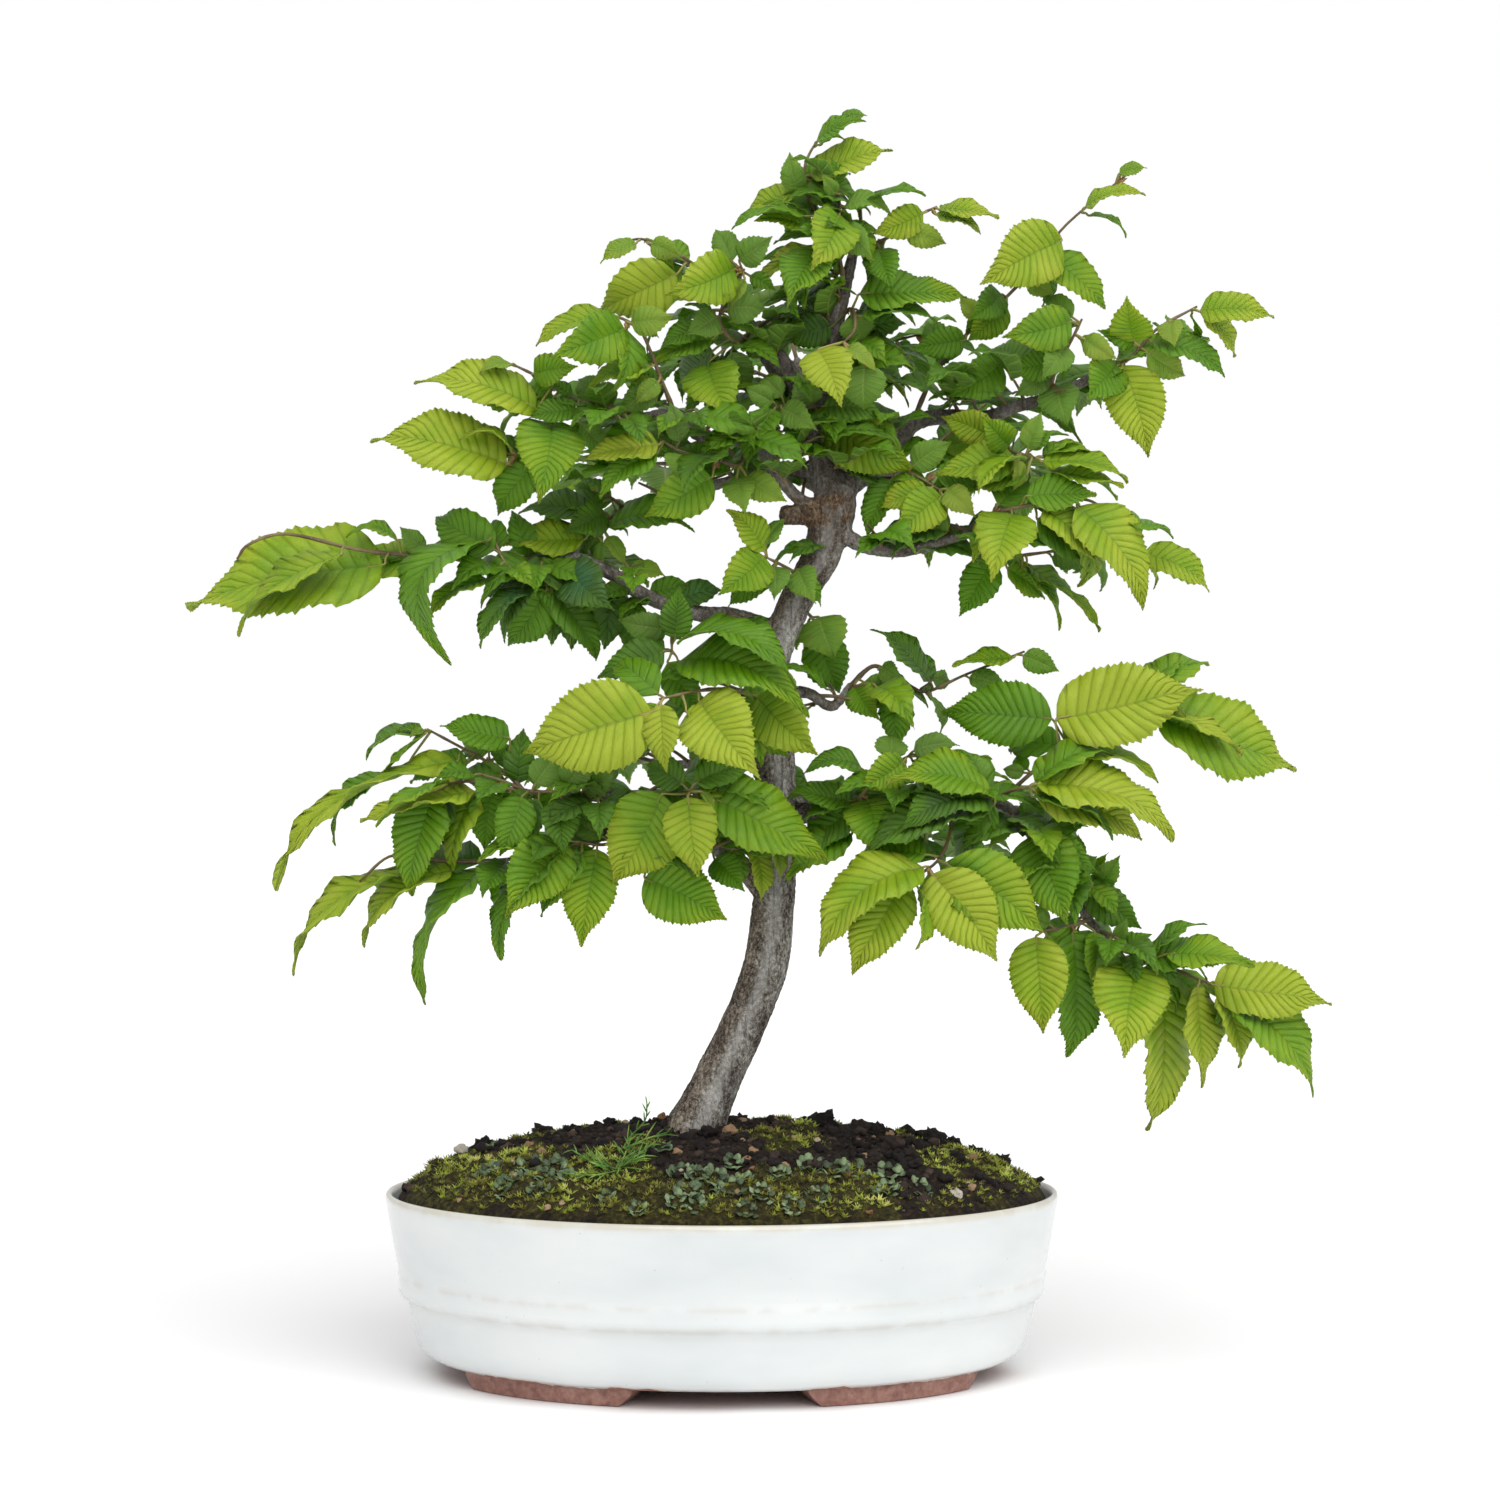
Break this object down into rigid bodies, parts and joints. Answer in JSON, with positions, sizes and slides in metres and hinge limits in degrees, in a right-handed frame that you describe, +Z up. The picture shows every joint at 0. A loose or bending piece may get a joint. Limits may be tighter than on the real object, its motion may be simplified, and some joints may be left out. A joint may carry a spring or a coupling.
{
  "type": "potted broadleaf bonsai tree",
  "caption": "Small hornbeam bonsai with a curved trunk and toothed, ribbed leaves in a shallow glazed oval pot.",
  "frame": {"origin": "on the table, straight under the middle of the whole tree's outline, at the underside of the feet", "axes": "+Z up along the tree; +X to the right and +Y away from the viewer of its front"},
  "size_m": [0.4526, 0.2412, 0.502],
  "materials": {
    "pot_glaze": "glossy off-white glaze over terracotta, bare on the feet",
    "net_plastic": "black mesh",
    "soil": "dark gritty soil with moss, lava grit and small seedlings",
    "bark": "smooth grey-brown bark",
    "leaf_bright": "fresh pleated leaf, satin, lets light through",
    "leaf_dark": "older pleated leaf, satin",
    "weed_green": "soft thin stalks"
  },
  "bodies": {
    "root": {"drain_net_left": "net_plastic", "drain_net_right": "net_plastic", "pot": "pot_glaze", "soil": "soil", "spray_apex_front": "leaf_bright", "spray_apex_low": "leaf_bright", "spray_apex_right": "leaf_bright", "spray_apex_tip": "leaf_bright", "spray_back_left_end": "leaf_bright", "spray_back_left_high_end": "leaf_bright", "spray_back_left_high_inner": "leaf_dark", "spray_back_left_inner": "leaf_dark", "spray_back_left_mid": "leaf_dark", "spray_back_right_end": "leaf_bright", "spray_back_right_high_end": "leaf_bright", "spray_back_right_high_inner": "leaf_dark", "spray_back_right_inner": "leaf_dark", "spray_back_top_end": "leaf_bright", "spray_back_top_left": "leaf_dark", "spray_back_top_right": "leaf_dark", "spray_behind_trunk": "leaf_dark", "spray_centre_dark": "leaf_dark", "spray_centre_right": "leaf_bright", "spray_front_centre": "leaf_bright", "spray_front_upper": "leaf_bright", "spray_left_curl": "leaf_dark", "spray_left_inner": "leaf_bright", "spray_left_inner_top": "leaf_bright", "spray_left_tip": "leaf_bright", "spray_left_upper": "leaf_bright", "spray_low_left_blue": "leaf_dark", "spray_low_left_bottom": "leaf_bright", "spray_low_left_bright": "leaf_bright", "spray_low_left_front": "leaf_bright", "spray_low_left_mid": "leaf_dark", "spray_low_left_under": "leaf_dark", "spray_low_left_upper": "leaf_bright", "spray_low_right_branch": "leaf_bright", "spray_low_right_drop": "leaf_dark", "spray_low_right_front": "leaf_bright", "spray_low_right_hanging": "leaf_bright", "spray_low_right_inner": "leaf_dark", "spray_low_right_mid": "leaf_bright", "spray_low_right_near": "leaf_dark", "spray_low_right_tip": "leaf_bright", "spray_low_right_top": "leaf_bright", "spray_right_arch": "leaf_bright", "spray_right_end": "leaf_bright", "spray_right_low": "leaf_bright", "spray_right_mid": "leaf_bright", "spray_right_thin": "leaf_bright", "spray_trunk_left": "leaf_bright", "spray_upper_left_core": "leaf_bright", "spray_upper_left_mid": "leaf_bright", "spray_upper_left_outer": "leaf_bright", "spray_upper_left_top": "leaf_bright", "spray_upper_right_long": "leaf_bright", "spray_upper_right_mid": "leaf_bright", "trunk_and_branches": "bark", "weed_sprig": "weed_green"}
  },
  "joints": []
}
